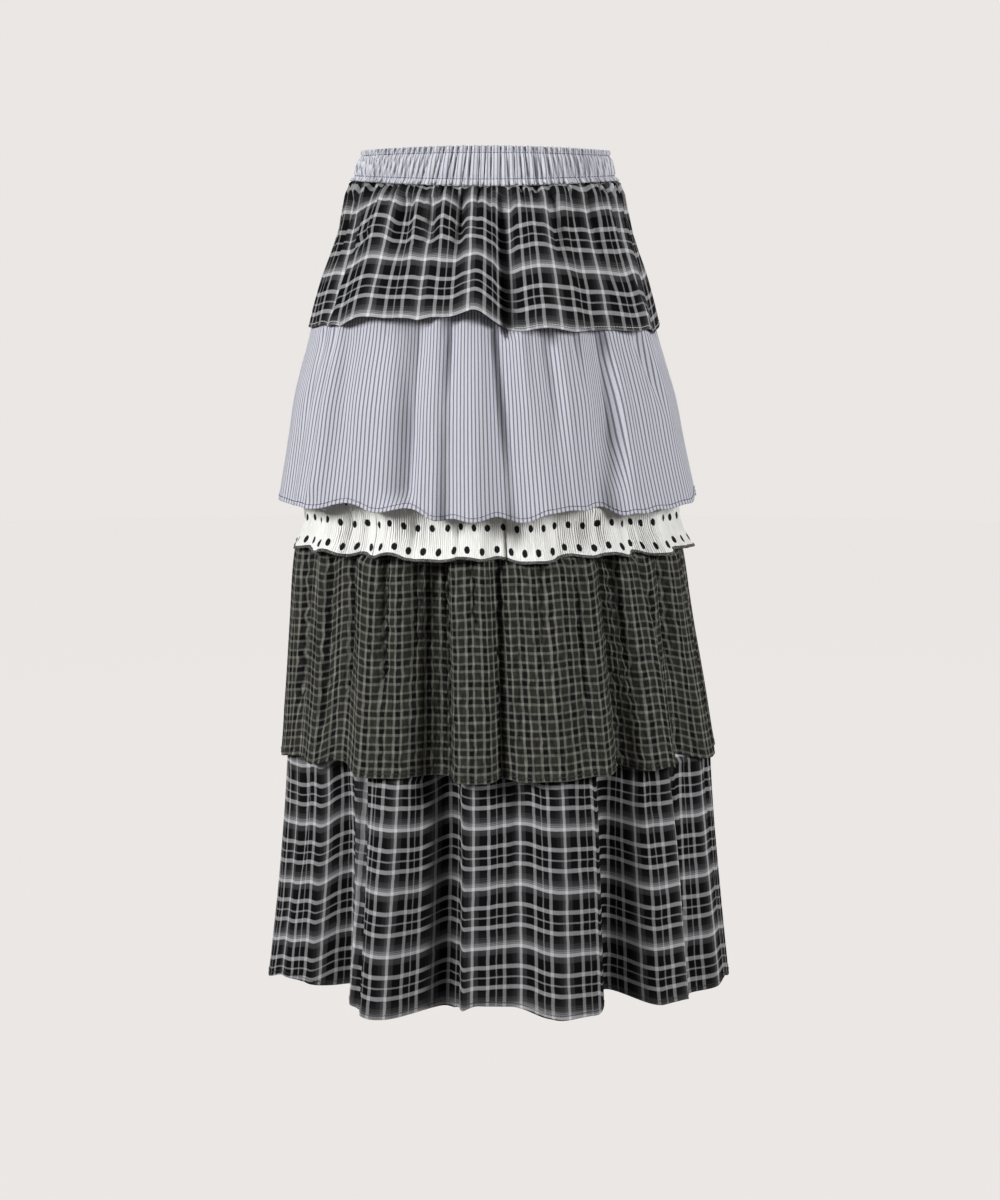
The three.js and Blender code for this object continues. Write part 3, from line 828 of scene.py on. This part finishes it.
dottedRuffle = {
    **tierDefaults,
    "name": "dotted_ruffle", "seam": -275, "hem": -381, "rows": 32, "turnUp": 2.5,
    "clear": 1.0, "seed": 37, "ride": 0.6, "waveOut": 0.8, "drift": 0.8, "thick": 0.7,
    "proud": 1.0, "slit": 1.2, "wiggle": 0.0, "depthSeen": 0.5,
    "stand": [(-275, 16.5), (-348, 0.6), (-366, 3.5), (-381, 10)],
    "folds": [
        (-92, 16, -8, 2), (-68, 9, -6, 3), (-53, 9, 7, 5), (-40, 7, -8, 4), (-29, 8, 7, 7),
        (-18, 7, -5, 1), (-7, 9, 8, 5), (2.5, 6, -9, 4), (12, 8, 8, 1), (24, 9, -7, 5), (36, 10, 6, 6),
        (48, 6, -10, 4), (58, 8, 7, 0), (71, 9, -6, 1), (84, 7, 4, 0), (98, 9, -7, 3), (112, 8, 7, 0),
        (125, 8, -8, 4), (138, 8, 7, 1), (150, 7, -9, 4), (161, 8, 8, 0), (173, 7, -8, 4), (-175, 8, 7, 1),
        (-162, 8, -7, 3), (-149, 9, 8, 0), (-135, 8, -9, 4), (-122, 9, 7, 1), (-108, 8, -7, 3),
        (-95, 8, 5, 0)],
    "waves": [
        (-85, 1), (-72, -1.5), (-58, 1.5), (-46, -1.5), (-34, 1.5), (-22, -1.5), (-10, 1.5), (3, -2),
        (14, 1.5), (26, -1.5), (38, 1.5), (50, -2), (62, 1.5), (74, -1.5), (86, 1), (110, -1.5),
        (122, 1.5), (134, -1.5), (146, 1.5), (158, -1.5), (170, 1.5), (182, -1.5), (194, 1.5), (206, -1.5),
        (218, 1.5), (230, -1.5), (242, 1.5), (254, -1.5)],
    "creases": [
        (-46, -330, -46, -390, -5, 2, 5, 0.3, 0), (-35, -330, -35, -390, -4, 1.2, 4, 0.3, 0),
        (-9, -330, -9, -390, -4, 1.2, 4, 0.3, 0), (4.8, -320, 5, -390, -6, 1.2, 5, 0.3, 0),
        (51.5, -320, 52, -390, -6, 1.2, 6, 0.3, 0), (-58, -330, -58, -390, -3, 3, 2, 0.3, 0),
        (20, -330, 20, -390, -3, 1.5, 4, 0.3, 0), (33, -330, 33, -390, -3, 3, 2, 0.3, 0),
        (-22, -330, -23, -390, -3, 2, 3, 0.3, 0), (66, -330, 66, -390, -3, 2, 3, 0.3, 0)],
    "gathers": [(170, 0.9, 40, 0.25), (110, 1.2, 60, 0.35), (60, 1.4, 90, 0.5)],
}

checkTier = {
    **tierDefaults,
    "name": "check_tier", "seam": -275, "hem": -592, "growth": 0.8, "rows": 74, "turnUp": 5.0,
    "clear": 1.0, "seed": 53, "ride": 0.8, "waveOut": 0.8, "drift": 0.7, "thick": 0.8,
    "proud": 4.0, "slit": 4.2, "wiggle": 0.34, "depthSeen": 0.7,
    "grain": [
        (-88, -8), (-60, -6), (-46, 0), (40, 0), (60, -6), (88, -8), (130, -2), (180, 0), (230, -2)],
    "stand": [(-275, 14.5), (-348, -3), (-388, 3.4), (-456, 5), (-520, 6.3), (-568, 7.6), (-592, 8.8)],
    "folds": [
        (-84, 9, 0, -4), (-66, 12, -10, 4), (-47, 13, -12, 9), (-37, 9, 10, 0), (-19, 9, -12, 1),
        (-7, 8, 8, 0), (2, 5, -9, 2), (13, 9, 10, 2), (24, 8, 5, 4), (35, 8, -14, 7), (46, 8, 10, 6),
        (60, 11, -20, 9), (84, 10, 0, 7), (104, 12, -12, 5), (126, 13, 8, 0), (148, 12, -18, 8),
        (168, 11, 9, 1), (-172, 11, -14, 6), (-152, 12, 8, 0), (-130, 12, -18, 8), (-108, 11, 6, 2)],
    "waves": [
        (-86, 1), (-76, -1), (-64, 1.5), (-55, -2), (-45, 1.6), (-34, -2), (-23, 1.5), (-12, -1.6),
        (-5, 1.5), (1.5, -2), (7, 1.5), (13, -1.4), (19, 1.5), (25, -1.6), (34, 1.5), (43, -1), (50, -2),
        (57, 1.5), (64, -2), (76, 1.5), (88, -1), (99, 1.5), (109, -2), (120, 1.6), (130, -1.6),
        (141, 1.5), (152, -2), (163, 1.5), (174, -1.5), (185, 1.6), (196, -2), (207, 1.5), (218, -1.6),
        (229, 1.5), (240, -2), (251, 1.5), (262, -1)],
    "creases": [
        (-55, -370, -55, -585, -4, 3, 3.5, 0, 0.3), (-32, -370, -31, -545, -6, 2.5, 4, 0, 0.35),
        (-14, -370, -13.5, -592, -22, 15, 3.2, 0, 0), (2.5, -370, 0.4, -592, -6, 2.2, 3, 0, 0),
        (14, -370, 12, -520, -3.5, 2.5, 3, 0, 0.5), (26, -370, 21.8, -592, -3.5, 2.5, 3, 0, 0.2),
        (35, -370, 36, -592, -11, 5, 6, 0.05, 0), (47, -370, 60.5, -588, -6.8, 2.5, 3.5, 0, 0.1),
        (62, -370, 62, -520, -7.5, 3.5, 4, 0, 0.5), (-5, -370, -5, -480, -3.8, 2, 2, 0, 0.5),
        (-22, -370, -24, -520, -3.8, 2.5, 2.5, 0, 0.5), (7, -420, 6, -590, -3, 2, 2, 0.2, 0.3),
        (38, -370, 41, -560, -4.5, 2.5, 2.5, 0, 0.4), (-44, -370, -46, -560, -4.5, 3, 3, 0, 0.4),
        (-70, -370, -72, -560, -6, 3, 4, 0, 0.3), (78, -370, 80, -580, -6, 3, 3, 0, 0.3),
        (104, -370, 106, -590, -7.5, 3, 4, 0, 0.2), (124, -370, 122, -560, -6, 3, 3, 0, 0.3),
        (146, -370, 150, -590, -9, 3, 4, 0, 0.2), (166, -370, 168, -560, -6, 3, 3, 0, 0.3),
        (188, -370, 186, -590, -9, 3, 4, 0, 0.2), (212, -370, 214, -590, -7.5, 3, 3, 0, 0.3),
        (232, -370, 229, -580, -9, 3, 4, 0, 0.2), (254, -370, 255, -570, -6, 3, 3, 0, 0.3)],
    "gathers": [(180, 1.0, 200, 0.4), (110, 1.5, 120, 0.45), (56, 2.0, 120, 0.5), (26, 1.6, 160, 0.6)],
}

hemTier = {
    **tierDefaults,
    "name": "hem_tier", "seam": -540, "hem": -827, "growth": 0.45, "rows": 64, "turnUp": 5.0,
    "clear": 1.2, "seed": 71, "ride": 1.0, "waveOut": 0.6, "drift": 1.3, "thick": 0.8,
    "proud": 0.0, "slit": 1.4, "wiggle": 0.1, "depthSeen": 0.4, "gatherRide": 0.35,
    "grain": [
        (-88, -26), (-70, -25), (-58, -20), (-50, -8), (-41, -8), (-34, -4), (-22, -4), (-14, 0), (-5, -6),
        (2, -4), (9, 0), (24.5, -3), (27.5, -11), (38, -8), (50, -8.5), (56, -11), (70, -12), (88, -14),
        (110, -10), (150, -5), (180, -8), (210, -5), (240, -14)],
    "stand": [(-540, 4.9), (-601, 0.5), (-719, 0), (-827, 1.1)],
    "folds": [
        (-60, 12, -10, 11), (-72, 12, -6, 9), (-47, 12, -34, 12), (-29, 10, 24, 0), (-17, 9, -30, 0),
        (-13, 7, 0, 1), (-5, 8, -12, 10), (3, 8, -12, 10), (9, 6, 0, 4), (13, 11, 18, 2),
        (33.5, 10, -46, 10), (48, 8, 8, 4), (61, 10, -20, -3), (76, 9, 0, 5), (106, 13, -24, 8),
        (128, 13, 18, 0), (149, 13, -30, 10), (170, 12, 18, 0), (-168, 12, -28, 10), (-147, 13, 20, 0),
        (-125, 13, -30, 10), (-106, 10, 8, 2)],
    "waves": [
        (-85, 1), (-74, -1.5), (-62, -1), (-55, -2.5), (-46, 3), (-41.5, 2), (-37, -1), (-22, -1.5),
        (-14, 3), (-7, -1.5), (1, -0.5), (6, 1), (12, -2), (25, -2), (30, 4), (42, -2), (53, -1.5),
        (58, 2.5), (70, 1), (80, -1), (92, 1), (106, 3), (117, -2), (128, -1), (138, 2), (149, 3),
        (160, -2), (170, -1), (181, 2), (192, 3), (203, -2), (213, -1), (224, 2), (235, 3), (246, -2),
        (256, -1), (264, 1)],
    "creases": [
        (-38.5, -560, -34, -835, -9, 5.5, 1.3, 0.05, 0), (-42.5, -560, -39, -835, 5, 3.5, 2.5, 0.1, 0),
        (-50, -560, -47, -835, -5, 4, 4, 0.05, 0), (-12, -560, -11, -835, -26, 11, 2.6, 0.02, 0),
        (4, -560, 4, -760, -4, 4, 3, 0.05, 0.4), (-26, -560, -24, -800, -3, 3, 3, 0.05, 0.4),
        (28.8, -560, 29.4, -835, -12, 1.3, 8, 0.05, 0), (53, -560, 63, -830, -6, 4, 1.6, 0.05, 0.5),
        (-30, -560, -29, -700, -2.5, 3, 3, 0, 0.5), (-18, -560, -17, -730, -2, 2.5, 2.5, 0, 0.5),
        (1, -560, 0, -760, -2.5, 2.5, 3, 0, 0.5), (19, -560, 20, -700, -2, 2.5, 2.5, 0, 0.5),
        (44, -560, 44, -720, -2.5, 2.5, 3, 0, 0.5), (-66, -560, -68, -760, -3, 3, 3, 0, 0.4),
        (75, -560, 78, -740, -3, 3, 3, 0, 0.4), (104, -560, 107, -832, -6, 2, 5, 0.05, 0),
        (141, -560, 144, -832, -8, 2, 7, 0.05, 0), (186, -560, 188, -832, -8, 6, 2, 0.05, 0),
        (229, -560, 230, -832, -8, 2, 7, 0.05, 0), (160, -560, 161, -700, -2.5, 3, 3, 0, 0.5),
        (208, -560, 207, -720, -2.5, 3, 3, 0, 0.5)],
    "gathers": [(150, 2.6, 45, 0.02), (84, 2.4, 60, 0.05), (46, 1.8, 80, 0.12), (22, 1.2, 140, 0.4)],
}


# The waistband: a casing of ticking drawn in by elastic, in one ring.

waistBand = {
    "top": 17,  # mm above the waist at the front
    "sideDrop": 4,
    "high": 38.0,
    "gathers": 112,
    "puff": 5.8,
    "columns": 1200,
    "cutWidth": 1150.0,  # mm
    "rows": [0, 0.04, 0.1, 0.15, 0.2, 0.3, 0.42, 0.55, 0.67, 0.77, 0.83, 0.88, 0.94, 1.0],
    "stitchAt": (0.16, 0.83),  # share of the height, from the top
    "stitchRows": (3, 10),  # the rows next to them
    "thick": 3.6,
}


def bandShape():
    count = waistBand["columns"]
    rng = np.random.default_rng(5)
    degrees = np.linspace(-180, 180, count + 1)
    top = waistBand["top"] - waistBand["sideDrop"] * np.sin(np.radians(degrees)) ** 2
    bottom = bandBottom(degrees)
    places = np.sort((np.arange(waistBand["gathers"]) + rng.uniform(-0.32, 0.32, waistBand["gathers"]))
                     * 360 / waistBand["gathers"] - 180)
    deep = rng.uniform(0.55, 1.25, waistBand["gathers"])
    sideways = np.sin(np.radians(places))
    lean = rng.uniform(-0.6, 0.6, waistBand["gathers"]) - np.where(sideways < 0, 3.8, 1.6) * sideways
    rows = []
    for share in waistBand["rows"]:
        at = np.sort(places + lean * (0.5 - share) * 1.6)
        extended = np.concatenate([at[-1:] - 360, at, at[:1] + 360])
        depth = np.concatenate([deep[-1:], deep, deep[:1]])
        i = np.clip(np.searchsorted(extended, degrees, side="right") - 1, 0, len(extended) - 2)
        wide = extended[i + 1] - extended[i]
        across = (degrees - extended[i]) / wide
        valley = depth[i] * (1 - across) + depth[i + 1] * across
        puff = np.sin(np.pi * np.clip(across, 0, 1)) ** 0.55
        relief = (waistBand["puff"] * np.minimum(wide / 3.6, 1.2)) * (puff - 0.7) * (0.45 + 0.55 * valley)
        fromStitch = min(abs(share - s) for s in waistBand["stitchAt"])
        grip = 1 - 0.72 * math.exp(-(fromStitch / 0.045) ** 2)
        stand = 0.25 - 1.1 * math.exp(-(fromStitch / 0.06) ** 2) + 0.5 * share**3
        level = np.full(count + 1, waistBand["top"] - waistBand["high"] * share)
        fine = 0.35 * gathers(91, 260, 12, degrees, level)
        frill = max(0, (share - 0.86) / 0.14)
        fine = fine + 2.0 * frill * gathers(93, 170, 30, degrees + 12 * share, np.full(count + 1, 0.0))
        z = top + (bottom - top) * share
        if share == 0:
            z = z + 0.22 * relief
        if share == 1:
            z = z + 0.2 * relief
        rows.append((z, stand + relief * grip + fine * (0.4 + 0.6 * grip)))
    return degrees, top, bottom, rows


def makeWaistband():
    degrees, top, bottom, rows = bandShape()
    outer = [pointAt(degrees, z, out) for z, out in rows]
    across = runOf(outer[6])  # halfway down
    across = across / across[-1] * waistBand["cutWidth"]
    inner = []
    for (z, out), share in zip(rows, waistBand["rows"]):
        lower = 0.9 * math.cos(math.pi * (share - 0.5)) ** 2
        behind = -waistBand["thick"] + 0.4 + 0.35 * (out - 0.25) - lower
        inner.append(pointAt(degrees, z, np.minimum(behind, out - 0.8)))
    crown = [pointAt(degrees, rows[0][0] + 0.55, rows[0][1] * 0.5 - 1.0),
             pointAt(degrees, rows[0][0] + 0.45, rows[0][1] * 0.35 - 2.2)]
    foot = [pointAt(degrees, rows[-1][0] + 0.02, -1.6 + 0.2 * rows[-1][1])]
    ring = np.stack(foot + outer[::-1] + crown + inner + foot)
    high = waistBand["high"]
    down = np.array([-1.0] + [high * (1 - s) for s in waistBand["rows"][::-1]] + [high + 1.2, high + 2.6]
                    + [high + 4 + high * s for s in waistBand["rows"]] + [high * 2 + 6])
    along = np.broadcast_to(down[:, None], ring.shape[:2])
    band = layGrid("waistband_gathered_casing", ring, np.broadcast_to(across, ring.shape[:2]), along)
    closeRing(closeEnds=False)
    finishPiece(band, bandTicking, "ticking_stripe", "waistband")
    for name, height, row in zip(("upper", "lower"), waistBand["stitchAt"], waistBand["stitchRows"]):
        line = pointAt(degrees, top + (bottom - top) * height, rows[row][1])
        stitchRow(f"waistband_{name}_stitches", line, bandStitch, greyThread,
                                  "ticking_stripe")


print("waistband")
makeWaistband()


def makeTier(tier, shape, material, slotName, stitchMaterial, hemStitchAt):
    for side in ("front", "back"):
        isFront = side == "front"
        name = f"{tier['name']}_{side}"
        panel = panelOf(f"{name}_cloth", shape, isFront, tier["thick"])
        finishPiece(panel, material, slotName, name)
        if stitchMaterial is not None:
            line = lineOn(shape, hemStitchAt, isFront)
            stitchRow(f"{name}_hem_stitches", line, hemStitch, stitchMaterial, slotName)
        if tier["name"] == "dotted_ruffle":
            makeOverlockEdge(f"{name}_overlock", shape, isFront)


overlockTube = {  # mm, half sizes
    "thick": 0.95,
    "high": 1.75,
    "up": 1.1,  # its middle above the cut edge
    "in": 0.35,  # and behind the face of the cloth
}


def makeOverlockEdge(name, shape, isFront):
    # a flattened tube of looped thread that wraps the cut edge
    line = lineOn(shape, 0.0, isFront)
    columns = np.arange(len(line))
    fine = np.linspace(0, len(line) - 1, (len(line) - 1) * 2 + 1)
    rise = unit(sampled(lineOn(shape, 4.0, isFront) - line, columns, fine))
    line = sampled(line, columns, fine)
    facing = unit(np.cross(np.gradient(line, axis=0), rise))
    line = line + rise * overlockTube["up"] - facing * overlockTube["in"]
    run = runOf(line)
    uneven = 0.16 * np.sin(run * 2 * np.pi / 2.6) + 0.14 * softNoise(77, 400, 50, fine, np.zeros(len(fine)))
    turns = np.linspace(2 * np.pi, 0, 9)
    thick = overlockTube["thick"] + uneven * 0.6
    high = overlockTube["high"] + uneven
    ring = np.stack([line + facing * (thick * math.cos(t))[:, None] + rise * (high * math.sin(t))[:, None]
                     for t in turns])
    along = np.broadcast_to((turns / (2 * np.pi) * 8)[:, None], ring.shape[:2])
    edge = layGrid(name, ring, np.broadcast_to(run, ring.shape[:2]), along)
    closeRing(closeEnds=True)
    return finishPiece(edge, overlock, "dotted_crinkle")


print("tiers")
cloths = (  # tier, material, slot, thread of the hem's stitches, and how high in mm they lie
    (plaidFlounce, plaid, "plaid_cotton", paleThread, 3.4),
    (stripedTier, ticking, "ticking_stripe", greyThread, 4.2),
    (dottedRuffle, dotted, "dotted_crinkle", None, 0),
    (checkTier, check, "check_seersucker", darkThread, 4.2),
    (hemTier, hemPlaid, "plaid_cotton", darkThread, 4.2),
)
shape = None
for tier, material, slotName, thread, stitchHeight in cloths:
    shape = tierShape(tier, shape)
    makeTier(tier, shape, material, slotName, thread, stitchHeight)
    print(tier["name"], "cut width", round(shape["width"]), "length", round(shape["length"]))


# The plain studio: a pale floor that melts into the background, soft light, and the camera.

studio = {
    "background": "#ebe7e4",
    "floorHeight": -1.02,  # metres, as all sizes here
    "floorRadius": 6.0,
    "floorMatt": 0.015,  # share of the floor that takes shadows; the rest glows like the background
    "ambient": 0.20,  # light from all round, as a share of the background
}

lamps = {
    "key": {"place": (-2.4, -1.5, 0.8), "target": (0, 0, -0.4), "size": (0.9, 0.9), "power": 110},
    "fill": {"place": (2.3, -1.6, 0.6), "target": (0, 0, -0.45), "size": (1.0, 1.0), "power": 76},
    "back": {"place": (0.6, 2.8, 1.2), "target": (0, 0, -0.4), "size": (2.0, 1.6), "power": 70},
}

viewer = {
    "place": (0.0163, -2.929, -0.025),
    "down": 8.05,  # degrees that it looks down
    "lens": 87,  # mm, on a 36 mm sensor
    "sensor": 36,
}


def makeStudio():
    pale = linear(studio["background"])
    world = bpy.data.worlds.new("pale studio")
    bpy.context.scene.world = world
    world.use_nodes = True
    add = emptied(world.node_tree)
    around = add("Background", pale, studio["ambient"])
    seen = add("Background", pale, 1.0)
    add("OutputWorld", add("MixShader", add("LightPath", out="Is Camera Ray"), around, seen))

    selectNone()
    bpy.ops.mesh.primitive_circle_add(vertices=96, radius=studio["floorRadius"], fill_type="NGON",
                                      location=(0, 0, studio["floorHeight"]))
    floor = bpy.context.object
    floor.name = "studio_floor"
    material, add = newMaterial("pale_floor")
    strength = add("Math", add("LightPath", out="Is Camera Ray"), 1 - studio["ambient"], studio["ambient"],
                   operation="MULTIPLY_ADD")
    glow = add("Emission", pale, strength)
    matt = add("BsdfDiffuse", pale)
    add("OutputMaterial", add("MixShader", studio["floorMatt"], glow, matt))
    floor.data.materials.append(material)


def softLight(name, place, target, size, power):
    selectNone()
    bpy.ops.object.light_add(type="AREA", location=place)
    lamp = bpy.context.object
    lamp.name = name
    lamp.data.shape = "RECTANGLE"
    lamp.data.size, lamp.data.size_y = size
    lamp.data.energy = power
    aim = [t - p for t, p in zip(target, place)]
    flat = math.hypot(aim[0], aim[1])
    lamp.rotation_euler = (math.atan2(flat, -aim[2]), 0, math.atan2(-aim[0], aim[1]))


def makeCamera():
    data = bpy.data.cameras.new("camera")
    data.sensor_width = viewer["sensor"]
    data.lens = viewer["lens"]
    camera = bpy.data.objects.new("camera", data)
    bpy.context.collection.objects.link(camera)
    camera.location = viewer["place"]
    camera.rotation_euler = (math.radians(90 - viewer["down"]), 0, 0)
    bpy.context.scene.camera = camera


print("studio")
makeStudio()
for name, values in lamps.items():
    softLight(name, **values)
makeCamera()
bpy.context.scene.view_settings.view_transform = "Standard"
bpy.context.scene.view_settings.look = "None"

print("finish")
